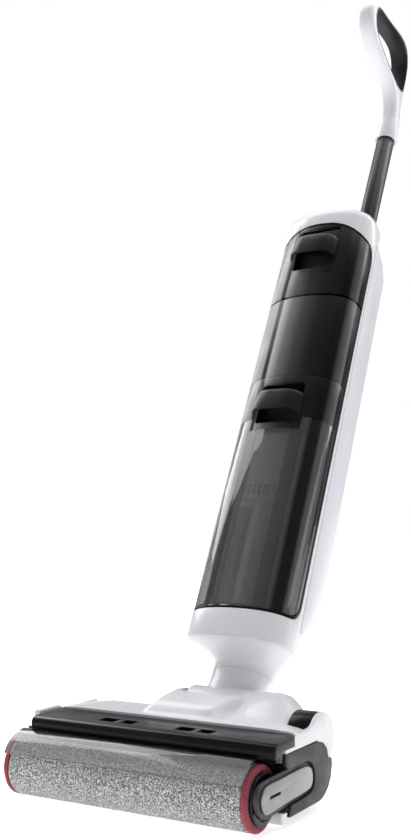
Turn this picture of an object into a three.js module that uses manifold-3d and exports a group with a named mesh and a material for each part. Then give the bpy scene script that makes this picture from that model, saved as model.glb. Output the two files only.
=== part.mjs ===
// Wet dry floor scrubber: a floor head with a plush roller, a reclining body with two
// slide-out tanks, and a pole with a loop handle. Millimetres, +X right, +Y back, +Z up.
// Head pieces are drawn in the head frame: roller axis above y = 0, floor at z = 0.
// Body pieces are drawn in the body frame, where x is across, y is depth (rearward) and
// z runs up the body's own axis; that frame leans back by LEAN.
import * as THREE from 'three';
import { mergeVertices } from 'three/addons/utils/BufferGeometryUtils.js';
import Module from 'manifold-3d';

const wasm = await Module();
wasm.setup();

// ---- driving dimensions -------------------------------------------------------------
const GAP = 0.3;
const SIDES = 24;
const ROUND = 32;
const ORIGIN = { x: 17.5, y: -323.06 };

const LEAN = THREE.MathUtils.degToRad(26.9);
const BODY_BASE = { y: 100, z: 62 };

const ROLLER = { r: 28.1, core: 19, x0: -151.5, x1: 105.8, ring: 4.5 };
const CHAMBER = { r: 31.5, wall: 3, from: -20, to: 80 };
const COVER = { inner: 31.6, outer: 33.7, from: 88, to: 153, x0: -149.5, x1: 103.5 };
const STRIP = { x0: -141, x1: 119.8, y0: -1, y1: 50, z0: 65.8, z1: 73, corner: 16 };
const LATCH = { x: 42, centre: -13, y: 21, pocketX: 19, pocketY: 7, travelRoom: 0.4 };

const WHEEL = { r: 33, y: 88, hub: 28, disc: 30.5, axle: 5, xIn: 66, xTyre: 86, xOut: 88.3 };
const BAND = { r: 25.6, y: 96, z: 59.5, x0: 93.4, x1: 115.4, wall: 3.6 };
const HEAD_CENTRE = -17.5;
const PLATE = { x0: 117, x1: 120, leftX0: -155, leftX1: -152.2 };

const PIVOT = { y: 122, z: 61, drum: 33, half: 34, pin: 8 };
const SWIVEL = { depth: 40, up: 61.7, r: 32, bush: 27 };

const HALF_WIDTH = 58.8;
const FRONT = { mid: 15, depth: 31.7, n: 2.2 };
const REAR = { mid: 22, n: 3 };
const TOWER_REAR = 36;
const HUMP_REAR = 90;
const WALL = 3;
const RING = { z0: 85.7, z1: 112 };
const CAP_TOP = 655;
const SPLIT = 32;
const ROOF = { yFront: 58, zFront: 612, yRear: 112, zRear: 589 };
const WINDOW = { y0: 24, y1: 27, z0: 114.4, z1: 627, corner: 20, drop: 20 };
const TRIM = 3;
const DIRTY = { z0: 117.7, z1: 343.4 };
const LID = { z0: 344, z1: 398.4, tongue: 327.6, tongueHalf: 31 };
const PANEL = { z0: 399.2, z1: 512.8 };
const CLEAN = { z0: 516.4 };
const TANK_BACK = 31;
const GRIP_HALF = 27;
const POLE = { r: 12.5, wall: 1.7, y: 99.2, z: 592, tilt: 1.83, from: -70, to: 333 };

const WHITE = [0xf2f2f4, 0.35, 0];
const PEARL = [0xe2e1e7, 0.4, 0];
const BLACK = [0x121214, 0.3, 0];
const DARK = [0x303032, 0.55, 0];
const SMOKE = [0x2c2c2e, 0.12, 0];
const STEEL = [0xb8babd, 0.3, 1];
const RUBBER = [0x1c1c1d, 0.8, 0];

// ---- solids -------------------------------------------------------------------------
function signedVolume(position, index) {
  const a = new THREE.Vector3();
  const b = new THREE.Vector3();
  const c = new THREE.Vector3();
  let sum = 0;
  for (let i = 0; i < index.count; i += 3) {
    a.fromBufferAttribute(position, index.getX(i));
    b.fromBufferAttribute(position, index.getX(i + 1));
    c.fromBufferAttribute(position, index.getX(i + 2));
    sum += a.dot(b.cross(c));
  }
  return sum / 6;
}

// Turns a closed geometry into a solid, with its faces pointing out.
function solid(geometry) {
  const bare = geometry.clone();
  for (const key of Object.keys(bare.attributes)) {
    if (key !== 'position') bare.deleteAttribute(key);
  }
  const merged = mergeVertices(bare, 1e-4);
  const { position } = merged.attributes;
  const triangles = [];
  const flip = signedVolume(position, merged.index) < 0;
  for (let i = 0; i < merged.index.count; i += 3) {
    const [a, b, c] = [0, 1, 2].map((k) => merged.index.getX(i + k));
    if (a === b || b === c || a === c) continue;
    triangles.push(a, flip ? c : b, flip ? b : c);
  }
  const vertProperties = new Float32Array(position.array);
  const triVerts = new Uint32Array(triangles);
  return new wasm.Manifold(new wasm.Mesh({ numProp: 3, vertProperties, triVerts }));
}

function join(first, ...others) {
  return others.reduce((sum, next) => sum.add(next), first);
}

function cut(first, ...others) {
  return others.reduce((sum, next) => sum.subtract(next), first);
}

// Skins a stack of closed rings with the same number of points, and closes both ends.
// `flat` gives the two coordinates in which an end ring is flat.
function skin(rings, flat) {
  const count = rings[0].length;
  const points = rings.flat();
  const index = [];
  for (let i = 0; i + 1 < rings.length; i += 1) {
    for (let j = 0; j < count; j += 1) {
      const a = i * count + j;
      const b = i * count + ((j + 1) % count);
      index.push(a, b, b + count, a, b + count, a + count);
    }
  }
  const last = (rings.length - 1) * count;
  for (const [ring, base, turn] of [[rings[0], 0, true], [rings.at(-1), last, false]]) {
    const outline = ring.map((p) => new THREE.Vector2(p[flat[0]], p[flat[1]]));
    const clockwise = THREE.ShapeUtils.isClockWise(outline);
    for (const [a, b, c] of THREE.ShapeUtils.triangulateShape(outline, [])) {
      index.push(base + a, base + (turn !== clockwise ? c : b), base + (turn !== clockwise ? b : c));
    }
  }
  const geometry = new THREE.BufferGeometry();
  geometry.setAttribute('position', new THREE.Float32BufferAttribute(points.flatMap((p) => p.toArray()), 3));
  geometry.setIndex(index);
  return solid(geometry);
}

function box(x0, x1, y0, y1, z0, z1) {
  const geometry = new THREE.BoxGeometry(x1 - x0, y1 - y0, z1 - z0);
  geometry.translate((x0 + x1) / 2, (y0 + y1) / 2, (z0 + z1) / 2);
  return solid(geometry);
}

function roundedShape(x0, x1, y0, y1, r) {
  const shape = new THREE.Shape();
  shape.moveTo(x0 + r, y0);
  shape.lineTo(x1 - r, y0);
  shape.absarc(x1 - r, y0 + r, r, -Math.PI / 2, 0, false);
  shape.absarc(x1 - r, y1 - r, r, 0, Math.PI / 2, false);
  shape.absarc(x0 + r, y1 - r, r, Math.PI / 2, Math.PI, false);
  shape.absarc(x0 + r, y0 + r, r, Math.PI, Math.PI * 1.5, false);
  return shape;
}

function polygon(points) {
  return new THREE.Shape(points.map(([x, y]) => new THREE.Vector2(x, y)));
}

// A smooth closed outline through a few points.
function smoothOutline(points, divisions) {
  const curve = new THREE.CatmullRomCurve3(points.map(([x, y]) => new THREE.Vector3(x, y, 0)), true);
  return curve.getPoints(divisions).slice(0, -1).map((p) => [p.x, p.y]);
}

function extruded(shape, from, to, bevel = 0, segments = 5) {
  const geometry = new THREE.ExtrudeGeometry(shape, {
    depth: to - from - 2 * bevel,
    bevelEnabled: bevel > 0,
    bevelSize: bevel,
    bevelThickness: bevel,
    bevelOffset: -bevel,
    bevelSegments: bevel > 6 ? 4 : 2,
    curveSegments: segments,
  });
  geometry.translate(0, 0, from + bevel);
  return geometry;
}

// The outline is drawn in (y, z) and runs along x.
function alongX(shape, x0, x1, bevel = 0, segments = 5) {
  const geometry = extruded(shape, x0, x1, bevel, segments);
  geometry.applyMatrix4(new THREE.Matrix4().set(0, 0, 1, 0, 1, 0, 0, 0, 0, 1, 0, 0, 0, 0, 0, 1));
  return solid(geometry);
}

// The outline is drawn in (x, z) and runs along y.
function alongY(shape, y0, y1, bevel = 0, segments = 5) {
  const geometry = extruded(shape, y0, y1, bevel, segments);
  geometry.applyMatrix4(new THREE.Matrix4().set(1, 0, 0, 0, 0, 0, 1, 0, 0, 1, 0, 0, 0, 0, 0, 1));
  return solid(geometry);
}

// The outline is drawn in (x, y) and runs along z.
function alongZ(shape, z0, z1, bevel = 0, segments = 5) {
  return solid(extruded(shape, z0, z1, bevel, segments));
}

// A turned piece: the profile is a closed list of [radius, distance along the axis].
function turned(profile, sides = SIDES) {
  const points = [...profile, profile[0]].map(([r, d]) => new THREE.Vector2(r, d));
  const geometry = new THREE.LatheGeometry(points, sides);
  geometry.rotateX(Math.PI / 2);
  return geometry;
}

function turnedX(profile, y, z, sides = SIDES) {
  const geometry = turned(profile, sides);
  geometry.rotateY(Math.PI / 2);
  geometry.translate(0, y, z);
  return solid(geometry);
}

function turnedZ(profile, x, y, sides = SIDES) {
  const geometry = turned(profile, sides);
  geometry.translate(x, y, 0);
  return solid(geometry);
}

function tubeProfile(inner, outer, from, to) {
  return [[inner, from], [outer, from], [outer, to], [inner, to]];
}

function rodX(x0, x1, y, z, r, sides = SIDES) {
  const geometry = new THREE.CylinderGeometry(r, r, x1 - x0, sides);
  geometry.rotateZ(Math.PI / 2);
  geometry.translate((x0 + x1) / 2, y, z);
  return solid(geometry);
}

function rodY(x, y0, y1, z, r, sides = 24) {
  const geometry = new THREE.CylinderGeometry(r, r, y1 - y0, sides);
  geometry.translate(x, (y0 + y1) / 2, z);
  return solid(geometry);
}

function rodZ(x, y, z0, z1, r, sides = SIDES) {
  const geometry = new THREE.CylinderGeometry(r, r, z1 - z0, sides);
  geometry.rotateX(Math.PI / 2);
  geometry.translate(x, y, (z0 + z1) / 2);
  return solid(geometry);
}

function ringSector(inner, outer, fromDegrees, toDegrees, y, z) {
  const shape = new THREE.Shape();
  const a = THREE.MathUtils.degToRad(fromDegrees);
  const b = THREE.MathUtils.degToRad(toDegrees);
  shape.absarc(y, z, outer, a, b, false);
  shape.absarc(y, z, inner, b, a, true);
  return shape;
}

// ---- the tree -----------------------------------------------------------------------
const machine = new THREE.Group();
machine.position.set(ORIGIN.x, ORIGIN.y, 0);
const head = new THREE.Group();
const body = new THREE.Group();
body.position.set(0, BODY_BASE.y, BODY_BASE.z);
body.rotation.x = -LEAN;
machine.add(head, body);

function piece(parent, name, shape, [color, roughness, metalness]) {
  const { vertProperties, triVerts } = shape.getMesh();
  const geometry = new THREE.BufferGeometry();
  geometry.setAttribute('position', new THREE.BufferAttribute(new Float32Array(vertProperties), 3));
  geometry.setIndex(new THREE.BufferAttribute(new Uint32Array(triVerts), 1));
  geometry.computeVertexNormals();
  const mesh = new THREE.Mesh(geometry, new THREE.MeshStandardMaterial({ color, roughness, metalness }));
  mesh.name = name;
  parent.add(mesh);
  return mesh;
}

// ---- roller and its removable arm -----------------------------------------------------
function rollerTube(inner, outer, x0, x1) {
  return turnedX(tubeProfile(inner, outer, x0, x1), 0, ROLLER.r, ROUND);
}

function makeRoller() {
  const { r, core, x0, x1, ring } = ROLLER;
  const inner = core + GAP;
  piece(head, 'roller_core', rollerTube(core - 2.5, core, x0 + 2, x1 - 2), [0x4a4a4c, 0.5, 0]);
  piece(head, 'roller_pile', rollerTube(inner, r, x0 + ring + GAP, x1 - ring - GAP), [0x9a9a9a, 0.95, 0]);
  piece(head, 'roller_band_left', rollerTube(inner, r, x0, x0 + ring), [0x8e3038, 0.9, 0]);
  piece(head, 'roller_band_right', rollerTube(inner, r, x1 - ring, x1), [0x8e3038, 0.9, 0]);
  const flange = x1 + GAP;
  const capProfile = [
    [8.2, flange - 14], [core - 2.8, flange - 14], [core - 2.8, flange], [22, flange],
    [22, flange + 3.2], [17.5, flange + 3.2], [17.5, flange + 1.6], [16, flange + 1.6],
    [16, flange + 5], [12, flange + 5], [12, flange + 3.4], [8.2, flange + 3.4],
  ];
  piece(head, 'roller_end_cap', turnedX(capProfile, 0, r), BLACK);
  const bearing = tubeProfile(4.3, 7.9, flange - 10, flange - 2);
  piece(head, 'roller_bearing', turnedX(bearing, 0, r, 20), STEEL);
  piece(head, 'drive_hub', rollerTube(3.4, core - 2.8, -38, -26), DARK);
}

// The long flat oval of the roller arm, moved outwards by the given amount.
function armOutline(grow) {
  const oval = smoothOutline([
    [-23.6, 34.6], [-20, 40.1], [-12, 43.1], [8, 43.7], [47, 44.6], [61, 44.2], [69.3, 41.4],
    [73, 36.8], [73.7, 29.7], [70, 24.5], [62.7, 23.1], [26.7, 21.9], [-5, 20.4], [-12.3, 20.1],
    [-17.6, 21.4], [-21.9, 26.4],
  ], 40);
  return oval.map(([y, z], i) => {
    const [ya, za] = oval.at(i - 1);
    const [yb, zb] = oval[(i + 1) % oval.length];
    const length = Math.hypot(yb - ya, zb - za);
    return [y - ((zb - za) / length) * grow, z + ((yb - ya) / length) * grow];
  });
}

function makeArm() {
  const frame = alongX(polygon(armOutline(4)), 115.7, 117.3);
  const boss = alongX(polygon(armOutline(2)), 112.1, 117).intersect(box(110, 118, -40, 42, 0, 60));
  piece(head, 'roller_arm', join(frame, boss), DARK);
  const slot = alongX(roundedShape(-10.2, 10.2, 31.6, 34.2, 1.2), 116, 121);
  const insert = cut(alongX(polygon(armOutline(0)), 117.3 + GAP, 119.9, 0.7), slot);
  piece(head, 'arm_insert', insert, [0x85868a, 0.35, 0.8]);
  piece(head, 'arm_pin', rodX(94, 112.1 - GAP, 0, ROLLER.r, 4, 24), STEEL);
}

// ---- drive ------------------------------------------------------------------------------
function makeDrive() {
  const end = PLATE.leftX1 + GAP;
  const motorProfile = [
    [0, end], [14.5, end], [14.5, -62], [13, -61], [13, -52], [0, -52],
  ];
  piece(head, 'roller_motor', turnedX(motorProfile, 0, ROLLER.r), [0x5c5e62, 0.4, 0.7]);
  piece(head, 'motor_shaft', rodX(-52 + GAP, -27, 0, ROLLER.r, 3, 24), STEEL);
}

// ---- brush cover and its latches --------------------------------------------------------
function latchPocket(x) {
  const { y, pocketX, pocketY } = LATCH;
  return box(x - pocketX, x + pocketX, y - pocketY, y + pocketY, STRIP.z1 - 4.4, STRIP.z1 + 5);
}

// Plan outline of the strip: its rear right-hand corner is rounded.
function stripPlan(grow) {
  const { x0, x1, y0, y1, corner } = STRIP;
  const shape = new THREE.Shape();
  shape.moveTo(x0 - 2, y0 - 3);
  shape.lineTo(x1 + grow, y0 - 3);
  shape.lineTo(x1 + grow, y1 - corner);
  shape.absarc(x1 - corner, y1 - corner, corner + grow, 0, Math.PI / 2);
  shape.lineTo(x0 - 2, y1 + grow);
  return shape;
}

function makeCover() {
  const { x0, x1, y0, y1, z0, z1 } = STRIP;
  const lip = 61.5;
  const section = new THREE.Shape();
  section.moveTo(y0, lip);
  section.lineTo(y0 + 4.6, lip);
  section.lineTo(y0 + 4.6, z0);
  section.lineTo(y1, z0);
  section.lineTo(y1, z1 - 1.5);
  section.lineTo(y1 - 1.5, z1);
  section.lineTo(y0 + 7, z1);
  section.quadraticCurveTo(y0, z1, y0 - 0.6, z1 - 6);
  const bar = alongX(section, x0, x1).intersect(alongZ(stripPlan(0), 50, 80));
  const pockets = [-LATCH.x, LATCH.x].map((d) => latchPocket(LATCH.centre + d));
  const bracket = polygon([[-0.8, 66.5], [15.8, 66.5], [12.8, 56], [8, 57.2], [1.6, 58.2]]);
  const end = alongX(bracket, 108, x1 - 0.4);
  piece(head, 'cover_strip', join(cut(bar, ...pockets), end), BLACK);

  const arc = ringSector(COVER.inner, COVER.outer, COVER.from + 6, COVER.to, 0, ROLLER.r);
  piece(head, 'cover_window', alongX(arc, COVER.x0, COVER.x1, 0, 14), SMOKE);

  for (const [name, side] of [['cover_latch_left', -1], ['cover_latch_right', 1]]) {
    const x = LATCH.centre + side * LATCH.x;
    const z = STRIP.z1 - 4.4 + GAP;
    const half = LATCH.pocketY - LATCH.travelRoom;
    const tab = alongY(roundedShape(x - 3, x + 3, z, STRIP.z1 - 0.2, 1), LATCH.y - half, LATCH.y + half);
    piece(head, name, tab, BLACK);
  }
}

// ---- wheels -----------------------------------------------------------------------------
function makeWheel(side, mirror) {
  const { r, y, hub, disc, axle, xIn, xTyre, xOut } = WHEEL;
  const place = (x) => (mirror ? 2 * HEAD_CENTRE - x : x);
  const at = (profile) => turnedX(profile.map(([radius, x]) => [radius, place(x)]), y, r, ROUND);
  const tread = [
    [hub + GAP, xIn], [r - 2.5, xIn], [r, xIn + 2.5], [r, xTyre - 2.5], [r - 1.5, xTyre],
    [hub + GAP, xTyre],
  ];
  piece(head, `tyre_${side}`, at(tread), RUBBER);
  const web = [
    [axle + GAP, xIn + 1], [14, xIn + 1], [14, xTyre - 5], [hub - 4, xTyre - 5], [hub - 4, xIn + 0.5],
    [hub, xIn + 0.5], [hub, xTyre + GAP], [disc, xTyre + GAP], [disc, xOut - 0.8], [disc - 1, xOut],
    [axle + GAP, xOut],
  ];
  piece(head, `wheel_hub_${side}`, at(web), WHITE);
  const ends = [place(xIn - 6), place(xOut + 4)].sort((a, b) => a - b);
  piece(head, `wheel_axle_${side}`, rodX(ends[0], ends[1], y, r, axle, 24), STEEL);
}

// ---- floor head -------------------------------------------------------------------------
function plateOutline() {
  return [
    [19, 61.5], [24, 62], [85, 60.8], [96, 58], [104, 52], [107.3, 43], [114.6, 41.5], [115.4, 34],
    [112.5, 24.4], [107, 17], [100, 12.2], [93, 9.3], [85.7, 8.4], [27, 8.4], [24, 10],
  ];
}

function rollerWay(r, x0, x1) {
  return rodX(x0, x1, 0, ROLLER.r, r, ROUND);
}

function makeSidePlates() {
  const { x0, x1, leftX0, leftX1 } = PLATE;
  const plate = alongX(polygon(plateOutline()), x0, x1);
  const armWay = alongX(polygon(armOutline(4.3)), x0 - 1, x1 + 1);
  piece(head, 'side_plate_right', cut(plate, armWay, rollerWay(CHAMBER.r, x0 - 1, x1 + 1)), DARK);
  const left = alongX(polygon(plateOutline()), leftX0, leftX1);
  const nose = rodX(leftX0, leftX1, 0, ROLLER.r, 24);
  const bridge = box(leftX0, leftX1, 0, 30, 12, 48);
  piece(head, 'side_plate_left', join(left, nose, bridge), DARK);
}

// The chassis: the roller chamber's wall, the floor between the wheels, cross walls and
// the two ears that carry the neck.
function makeBase() {
  const x0 = ROLLER.x0 + 1;
  const wall = ringSector(CHAMBER.r, CHAMBER.r + CHAMBER.wall, CHAMBER.from, CHAMBER.to, 0, ROLLER.r);
  const chamber = alongX(wall, x0, 105.3, 0, 16);
  const floor = box(x0, 111, 30, 116.5, 9, 12.5);
  const crossWall = box(x0, 111.5, 33.5, 38.5, 9, 59);
  const wheelWalls = [60, 90.2].flatMap((x) => [x, 2 * HEAD_CENTRE - x - 2.8])
    .map((x) => box(x, x + 2.8, 36, 116.5, 9, 65));
  const rearWall = box(x0, 111, 113, 116.5, 9, 36);
  const ears = [-1, 1].map((side) => {
    const [a, b] = [side * 35.2, side * 41].sort((p, q) => p - q);
    return alongX(roundedShape(100, 138, 10, 80, 14), a, b);
  });
  const cheek = join(box(107, 116.7, 36, 42, 9, 14), box(107, 116.7, 36, 42, 50, 59));
  const solidBase = join(chamber, floor, crossWall, ...wheelWalls, rearWall, ...ears, cheek);
  const neckWay = join(
    rodX(-35, 35, PIVOT.y, PIVOT.z, PIVOT.drum + 1.2, ROUND),
    box(-35, 35, 100, 145, 26, 100),
  );
  const bores = join(
    rodX(-45, 45, PIVOT.y, PIVOT.z, PIVOT.pin + GAP),
    rodX(-132, 97, WHEEL.y, WHEEL.r, WHEEL.axle + GAP, 24),
  );
  const wheelWays = [[63.6, 90], [-125, -98.6]].map(([a, b]) => box(a, b, 51, 125, 5, 70));
  piece(head, 'head_base', cut(solidBase, neckWay, bores, ...wheelWays), DARK);
}

// Height of the white top shell above the floor: a flat deck, a raised island that
// carries the neck, and one rounded shoulder between the island and the right-hand band.
function shellHeight(x, y) {
  const step = THREE.MathUtils.smoothstep;
  const left = -61 + 0.15 * (y - 58);
  const right = 18 + 18 * step(y, 62, 112);
  const across = step(x, left, left + 13) * (1 - step(x, right - 2, right + 14));
  const island = across * step(y, 55, 68) * (5.5 + 15 * step(y, 50, 110));
  const shoulder = 24 * step(y, 60, 116) * Math.exp(-(((x - 62) / 28) ** 4));
  const edge = Math.abs((x - HEAD_CENTRE) / 137.5);
  return 75 - 3 * step(y, 60, 128) + Math.hypot(island, shoulder) - 6 * edge ** 18;
}

function fenderOutline() {
  const shape = new THREE.Shape();
  shape.moveTo(19.5, 62.4);
  shape.lineTo(19.5, 65.4);
  shape.lineTo(50.6, 65.4);
  shape.lineTo(50.6, 74.8);
  shape.lineTo(67, 75.2);
  shape.quadraticCurveTo(73, 75.2, 76.3, 77.3);
  shape.absarc(95, 59.5, BAND.r, Math.PI * 0.758, -0.78, true);
  shape.lineTo(95, 48);
  shape.lineTo(84, 62.4);
  return shape;
}

function makeShell() {
  const thick = 3.4;
  const stations = [-154.8, -152, -146, -128, -90, -66, -60, -57, -54, -51, -48, -45, -41, -20, 6, 16, 20,
    24, 28, 32, 36, 41, 46, 52, 62, 70, 78, 86, 93.2, 104, 113, 119.8];
  const depths = [50.4, 55, 58, 61, 64, 68, 76, 84, 92, 102, 112];
  const fall = [[120, 0.98], [125, 0.9], [127.6, 0.75], [128, 0.45]];
  const rings = stations.map((x) => {
    const outer = depths.map((y) => [y, shellHeight(x, y)]);
    const last = shellHeight(x, depths.at(-1));
    for (const [y, part] of fall) outer.push([y, last * part]);
    const inner = outer.map(([y, z], i) => {
      const [ya, za] = outer[Math.max(i - 1, 0)];
      const [yb, zb] = outer[Math.min(i + 1, outer.length - 1)];
      const length = Math.hypot(yb - ya, zb - za);
      return [y + ((zb - za) / length) * thick, z - ((yb - ya) / length) * thick];
    });
    return [...outer, ...inner.reverse()].map(([y, z]) => new THREE.Vector3(x, y, z));
  });
  const plate = alongX(polygon(plateOutline()), 112, 122);
  const plateWay = plate.scale([1, 1.012, 1.012]).translate([0, -0.8, -0.4]);
  const fender = cut(alongX(fenderOutline(), 115.9, 119.8, 0, 12), plateWay);
  const rail = alongY(roundedShape(113, 119.8, 62.4, 65.4, 0.8), 19.5, 53);
  const corner = cut(box(101, 119.8, 32, 52, 62.4, 74.4), alongZ(stripPlan(GAP), 65.4, 80));
  const railLeft = alongY(roundedShape(-154.8, -148, 62.4, 74.2, 1.5), 19.5, 53);
  const skirtLeft = box(-154.8, -151.6, 50, 118, 62.4, 70.5);
  const neckWay = join(
    rodX(-35, 35, PIVOT.y, PIVOT.z, PIVOT.drum + 1, ROUND),
    box(-35, 35, PIVOT.y - 24, 150, 82, 130),
    box(-35, 35, PIVOT.y - 10, 150, 20, 130),
  );
  const ears = box(-41.6, 41.6, 99, 139, 20, 80.6);
  const { r, y, z, x0 } = BAND;
  const bandWay = join(rodX(x0 - GAP, 115.9, y, z, r + 1.2, ROUND), box(x0 - GAP, 122, y, 140, 10, 95));
  const shell = cut(join(skin(rings, ['y', 'z']), rail, corner, railLeft, skirtLeft), neckWay, ears, bandWay);
  piece(head, 'head_shell', join(shell, fender), WHITE);
}

// The dark band that wraps over the right-hand end of the head.
function makeBand() {
  const { r, y, z, x0, x1, wall } = BAND;
  const arc = ringSector(r - wall, r, -52, 168, y, z);
  piece(head, 'end_band', alongX(arc, x0, x1, 0.8, 16), DARK);
}

function makeHeadDetails() {
  const blade = box(-148, 103, -1.1, 1.1, CHAMBER.r - 2.7, CHAMBER.r - GAP);
  const turn = 62;
  const scraper = blade.rotate([-turn, 0, 0]).translate([0, 0, ROLLER.r]);
  piece(head, 'scraper_blade', scraper, RUBBER);
  piece(head, 'rear_squeegee', box(-149, 111, 26.9, 29.7, 0.8, 10.8), [0xd8dadc, 0.5, 0]);
  for (const [name, side] of [['pivot_pin_left', -1], ['pivot_pin_right', 1]]) {
    const [a, b] = [side * 30.4, side * 41].sort((p, q) => p - q);
    piece(head, name, rodX(a, b, PIVOT.y, PIVOT.z, PIVOT.pin, 24), STEEL);
  }
}

// ---- neck -------------------------------------------------------------------------------
// A ring of points: half a superellipse to the front and half to the rear.
function sectionRing(z, half, yFront, yRear, frontMid, rearMid, nFront, nRear, steps = 12) {
  const ring = [];
  const power = (v, n) => Math.sign(v) * Math.abs(v) ** (2 / n);
  for (let i = 0; i <= steps; i += 1) {
    const a = (Math.PI * i) / steps;
    ring.push(new THREE.Vector3(half * power(Math.cos(a), nRear),
      rearMid + (yRear - rearMid) * power(Math.sin(a), nRear), z));
  }
  for (let i = 0; i <= steps; i += 1) {
    const a = Math.PI + (Math.PI * i) / steps;
    ring.push(new THREE.Vector3(half * power(Math.cos(a), nFront),
      frontMid + (frontMid - yFront) * power(Math.sin(a), nFront), z));
  }
  return ring;
}

function loft(stations) {
  return skin(stations.map((s) => sectionRing(...s)), ['x', 'y']);
}

// Neck stations give height, half width, front and rear; the middle lies between them.
function neckStation([z, half, yFront, yRear, n]) {
  const mid = (yFront + yRear) / 2;
  return [z, half, yFront, yRear, mid - 0.5, mid + 0.5, n, n];
}

// Height and depth in the body frame of a point given in the head frame.
function toBody(y, z) {
  const dy = y - BODY_BASE.y;
  const dz = z - BODY_BASE.z;
  return {
    y: dy * Math.cos(LEAN) - dz * Math.sin(LEAN),
    z: dy * Math.sin(LEAN) + dz * Math.cos(LEAN),
  };
}

function makeNeck() {
  const pivot = toBody(PIVOT.y, PIVOT.z);
  const top = SWIVEL.up - GAP / 2;
  const column = loft([
    [14, 28, pivot.y - 26, pivot.y + 30, 2], [34, 28.5, 0, 57, 2], [50, 30, 5.5, 66, 2],
    [top, SWIVEL.r, SWIVEL.depth - SWIVEL.r, SWIVEL.depth + SWIVEL.r, 2],
  ].map(neckStation));
  const bore = loft([
    [14, 20, pivot.y - 18, pivot.y + 20, 2], [34, 22, 8, 50, 2], [50, 24, 13, 60, 2],
    [54, 24.2, SWIVEL.depth - 24.2, SWIVEL.depth + 24.2, 2],
    [top + 1, 24.2, SWIVEL.depth - 24.2, SWIVEL.depth + 24.2, 2],
  ].map(neckStation));
  const seat = rodZ(0, SWIVEL.depth, 54, top + 1, SWIVEL.bush + GAP);
  const drum = rodX(-PIVOT.half, PIVOT.half, pivot.y, pivot.z, PIVOT.drum, ROUND);
  const drumVoid = rodX(-26, 26, pivot.y, pivot.z, PIVOT.drum - 4, 40);
  const pins = join(
    rodX(-PIVOT.half - 1, -30, pivot.y, pivot.z, PIVOT.pin + GAP, 24),
    rodX(30, PIVOT.half + 1, pivot.y, pivot.z, PIVOT.pin + GAP, 24),
  );
  piece(body, 'neck_yoke', cut(join(column, drum), bore, seat, drumVoid, pins), WHITE);
  const { bush, depth } = SWIVEL;
  piece(body, 'swivel_bush', turnedZ(tubeProfile(bush - 2.5, bush, 54 + GAP, 71), 0, depth), DARK);
}

function makeFunnel() {
  const bottom = SWIVEL.up + GAP / 2;
  const top = RING.z0 - GAP;
  const { depth, r, bush } = SWIVEL;
  const outer = [
    [bottom, r, depth - r, depth + r, 2], [66, 32.4, 10, 74.5, 2], [71, 34, 9, 77, 2.05],
    [76, 37.5, 5, 77.5, 2.1], [80, 43, -1, 76, 2.1], [83, 50, -8, 72, 2.2],
    [top, 58, -15.9, 64, 2.2],
  ].map(neckStation);
  const inner = [
    [70, 27, 13.5, 67.5, 2], [76, 31, 11, 70, 2], [81, 38, 6, 68, 2.1], [top + 1, 50, -6, 58, 2.2],
  ].map(neckStation);
  const bore = rodZ(0, depth, bottom - 1, 72, bush + GAP);
  piece(body, 'neck_funnel', cut(loft(outer), bore, loft(inner)), WHITE);
}

// ---- main body --------------------------------------------------------------------------
// One station of the body's outline, shrunk by `inset`.
function bodyStation(z, rearDepth, inset) {
  const yFront = FRONT.mid - FRONT.depth + inset;
  const yRear = REAR.mid + rearDepth - inset;
  return [z, HALF_WIDTH - inset, yFront, yRear, FRONT.mid, REAR.mid, FRONT.n, REAR.n];
}

function towerLoft(z0, z1, inset) {
  return loft([bodyStation(z0, TOWER_REAR, inset), bodyStation(z1, TOWER_REAR, inset)]);
}

function capLoft(inset) {
  const top = CAP_TOP - inset;
  const dome = [[z => z - 15, 0], [z => z - 8, 1.6], [z => z - 3, 6], [z => z - 0.8, 13], [z => z, 24]];
  const stations = dome.map(([height, shrink]) => bodyStation(height(top), TOWER_REAR, inset + shrink));
  return loft([bodyStation(RING.z0 + inset, TOWER_REAR, inset), ...stations]);
}

function humpLoft(inset) {
  const profile = [[112, 45], [119, 57], [127, 68], [136, 77], [148, 85], [165, HUMP_REAR], [640, HUMP_REAR]];
  return loft(profile.map(([z, rear], i) => bodyStation(z + (i === 0 ? inset : 0), rear, inset)));
}

// The window seen from the side and from the front, shrunk by `inset`.
function windowWay(inset) {
  const { y0, y1, z0, z1, corner, drop } = WINDOW;
  const low = z0 + inset;
  const side = new THREE.Shape();
  side.moveTo(-60, low);
  side.lineTo(y0 - inset - corner, low);
  side.absarc(y0 - inset - corner, low + corner, corner, -Math.PI / 2, 0, false);
  side.lineTo(y1 - inset, z1 - 42 - inset);
  side.quadraticCurveTo(y1 - inset, z1 - 22 - inset, 8, z1 - 18 - inset);
  side.lineTo(-60, z1 + 40);
  const front = new THREE.Shape();
  front.moveTo(-90, 60);
  front.lineTo(90, 60);
  const top = (x) => z1 - inset - drop * (Math.min(Math.abs(x), HALF_WIDTH) / HALF_WIDTH) ** 2.7;
  front.lineTo(90, top(90));
  for (let x = HALF_WIDTH; x >= -HALF_WIDTH; x -= HALF_WIDTH / 8) front.lineTo(x, top(x));
  front.lineTo(-90, top(90));
  return alongX(side, -90, 90, 0, 6).intersect(alongY(front, -60, 60));
}

function roofLine(offset) {
  const slope = (ROOF.zRear - ROOF.zFront) / (ROOF.yRear - ROOF.yFront);
  return (y) => ROOF.zFront + offset + slope * (y - ROOF.yFront);
}

// Everything behind `y` and below the sloping roof of the rear cover.
function rearBlock(y, z0, offset) {
  const roof = roofLine(offset);
  return alongX(polygon([[y, z0], [160, z0], [160, roof(160)], [y, roof(y)]]), -90, 90);
}

function poleSolid(r, from, to) {
  return rodZ(0, 0, from, to, r, 32).rotate([-POLE.tilt, 0, 0]).translate([0, POLE.y, POLE.z]);
}

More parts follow.
